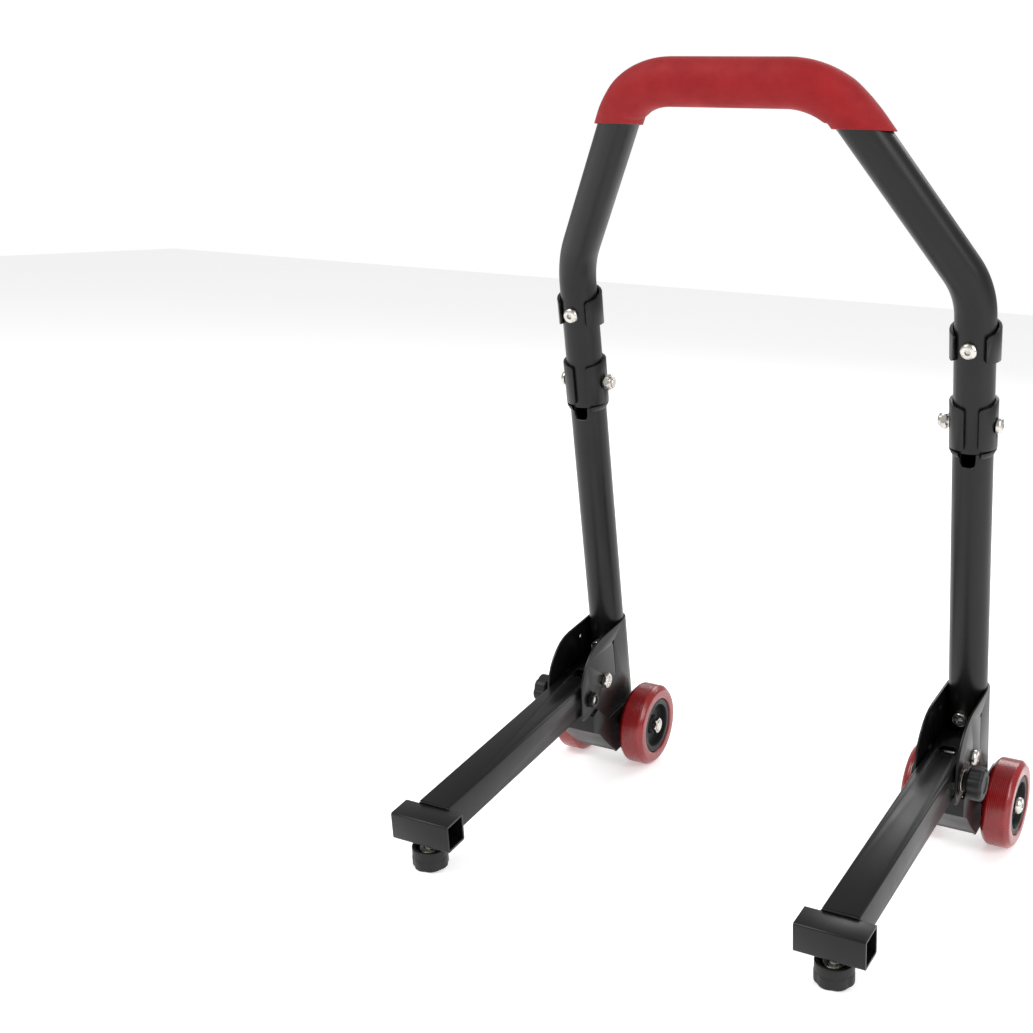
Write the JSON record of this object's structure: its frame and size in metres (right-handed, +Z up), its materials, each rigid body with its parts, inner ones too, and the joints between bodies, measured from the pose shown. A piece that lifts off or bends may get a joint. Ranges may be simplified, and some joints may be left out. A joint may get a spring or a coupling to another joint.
{
  "type": "motorcycle paddock stand",
  "caption": "Front paddock stand: a bent black steel handle bow with a red foam grip, bolted to folding square legs on small red wheels.",
  "frame": {"origin": "on the floor, under the middle of the stand's bounding box", "axes": "+Z up; +X to the stand's right, across the two uprights; -Y forward, the way the legs point"},
  "size_m": [0.4634, 0.399, 0.675],
  "materials": {
    "black_paint": "semi-gloss black powder coat",
    "red_foam": "matte red foam sleeve",
    "red_urethane": "glossy translucent red polyurethane",
    "black_plastic": "moulded black nylon",
    "zinc_steel": "bright zinc plated steel",
    "black_steel": "black oxide steel"
  },
  "bodies": {
    "frame": {"handle_bow": "black_paint", "grip_sleeve": "red_foam", "upright_tube_left": "black_paint", "splice_collar_left": "black_paint", "splice_lock_bolt_left": "zinc_steel", "splice_lock_nut_left": "zinc_steel", "splice_cross_bolt_left": "zinc_steel", "splice_cross_nut_left": "zinc_steel", "bracket_channel_left": "black_paint", "wheel_yoke_left": "black_paint", "upright_bolt_left": "zinc_steel", "upright_nut_left": "zinc_steel", "leg_pivot_bolt_left": "zinc_steel", "leg_pivot_nut_left": "zinc_steel", "axle_bolt_left": "zinc_steel", "axle_nut_left": "zinc_steel", "lock_nut_left": "black_steel", "upright_tube_right": "black_paint", "splice_collar_right": "black_paint", "splice_lock_bolt_right": "zinc_steel", "splice_lock_nut_right": "zinc_steel", "splice_cross_bolt_right": "zinc_steel", "splice_cross_nut_right": "zinc_steel", "bracket_channel_right": "black_paint", "wheel_yoke_right": "black_paint", "upright_bolt_right": "zinc_steel", "upright_nut_right": "zinc_steel", "leg_pivot_bolt_right": "zinc_steel", "leg_pivot_nut_right": "zinc_steel", "axle_bolt_right": "zinc_steel", "axle_nut_right": "zinc_steel", "lock_nut_right": "black_steel"},
    "leg_left": {"leg_tube_left": "black_paint", "receiver_tube_left": "black_paint"},
    "foot_slide_left": {"foot_washer_left": "zinc_steel"},
    "foot_turn_left": {"foot_knob_left": "black_plastic", "foot_screw_left": "zinc_steel"},
    "lock_slide_left": {"lock_washer_left": "zinc_steel"},
    "lock_turn_left": {"lock_knob_left": "black_plastic", "lock_stud_left": "zinc_steel"},
    "outer_wheel_left": {"outer_wheel_left_tread": "red_urethane", "outer_wheel_left_hub": "black_plastic"},
    "inner_wheel_left": {"inner_wheel_left_tread": "red_urethane", "inner_wheel_left_hub": "black_plastic"},
    "leg_right": {"leg_tube_right": "black_paint", "receiver_tube_right": "black_paint"},
    "foot_slide_right": {"foot_washer_right": "zinc_steel"},
    "foot_turn_right": {"foot_knob_right": "black_plastic", "foot_screw_right": "zinc_steel"},
    "lock_slide_right": {"lock_washer_right": "zinc_steel"},
    "lock_turn_right": {"lock_knob_right": "black_plastic", "lock_stud_right": "zinc_steel"},
    "outer_wheel_right": {"outer_wheel_right_tread": "red_urethane", "outer_wheel_right_hub": "black_plastic"},
    "inner_wheel_right": {"inner_wheel_right_tread": "red_urethane", "inner_wheel_right_hub": "black_plastic"}
  },
  "joints": [
    {"name": "leg_fold_left", "type": "hinge", "parent": "frame", "child": "leg_left", "pos_m": [-0.18, 0.09626, 0.09845], "axis": [-1, 0, 0], "range_deg": [0, 85]},
    {"name": "foot_lift_left", "type": "slide", "parent": "leg_left", "child": "foot_slide_left", "axis": [0, -0.1901, 0.9818], "range_m": [0, 0.0025]},
    {"name": "foot_knob_turn_left", "type": "hinge", "parent": "foot_slide_left", "child": "foot_turn_left", "pos_m": [-0.18, -0.18503, 0.0388], "axis": [0, -0.1901, 0.9818], "range_deg": [0, 720]},
    {"name": "lock_travel_left", "type": "slide", "parent": "frame", "child": "lock_slide_left", "axis": [-1, 0, 0], "range_m": [0, 0.0025]},
    {"name": "lock_knob_turn_left", "type": "hinge", "parent": "lock_slide_left", "child": "lock_turn_left", "pos_m": [-0.18, 0.06884, 0.08591], "axis": [-1, 0, 0], "range_deg": [0, 720]},
    {"name": "outer_wheel_spin_left", "type": "hinge", "parent": "frame", "child": "outer_wheel_left", "pos_m": [-0.2166, 0.15948, 0.0402], "axis": [1, 0, 0], "continuous": true},
    {"name": "inner_wheel_spin_left", "type": "hinge", "parent": "frame", "child": "inner_wheel_left", "pos_m": [-0.1434, 0.15948, 0.0402], "axis": [1, 0, 0], "continuous": true},
    {"name": "leg_fold_right", "type": "hinge", "parent": "frame", "child": "leg_right", "pos_m": [0.18, 0.09626, 0.09845], "axis": [-1, 0, 0], "range_deg": [0, 85]},
    {"name": "foot_lift_right", "type": "slide", "parent": "leg_right", "child": "foot_slide_right", "axis": [0, -0.1901, 0.9818], "range_m": [0, 0.0025]},
    {"name": "foot_knob_turn_right", "type": "hinge", "parent": "foot_slide_right", "child": "foot_turn_right", "pos_m": [0.18, -0.18503, 0.0388], "axis": [0, -0.1901, 0.9818], "range_deg": [0, 720]},
    {"name": "lock_travel_right", "type": "slide", "parent": "frame", "child": "lock_slide_right", "axis": [1, 0, 0], "range_m": [0, 0.0025]},
    {"name": "lock_knob_turn_right", "type": "hinge", "parent": "lock_slide_right", "child": "lock_turn_right", "pos_m": [0.18, 0.06884, 0.08591], "axis": [1, 0, 0], "range_deg": [0, 720]},
    {"name": "outer_wheel_spin_right", "type": "hinge", "parent": "frame", "child": "outer_wheel_right", "pos_m": [0.2166, 0.15948, 0.0402], "axis": [1, 0, 0], "continuous": true},
    {"name": "inner_wheel_spin_right", "type": "hinge", "parent": "frame", "child": "inner_wheel_right", "pos_m": [0.1434, 0.15948, 0.0402], "axis": [1, 0, 0], "continuous": true}
  ],
  "couplings": [
    {"joint": "foot_knob_turn_left", "follows": "foot_lift_left", "rad_per_m": 5026.5},
    {"joint": "lock_knob_turn_left", "follows": "lock_travel_left", "rad_per_m": 5026.5},
    {"joint": "foot_knob_turn_right", "follows": "foot_lift_right", "rad_per_m": 5026.5},
    {"joint": "lock_knob_turn_right", "follows": "lock_travel_right", "rad_per_m": 5026.5}
  ]
}
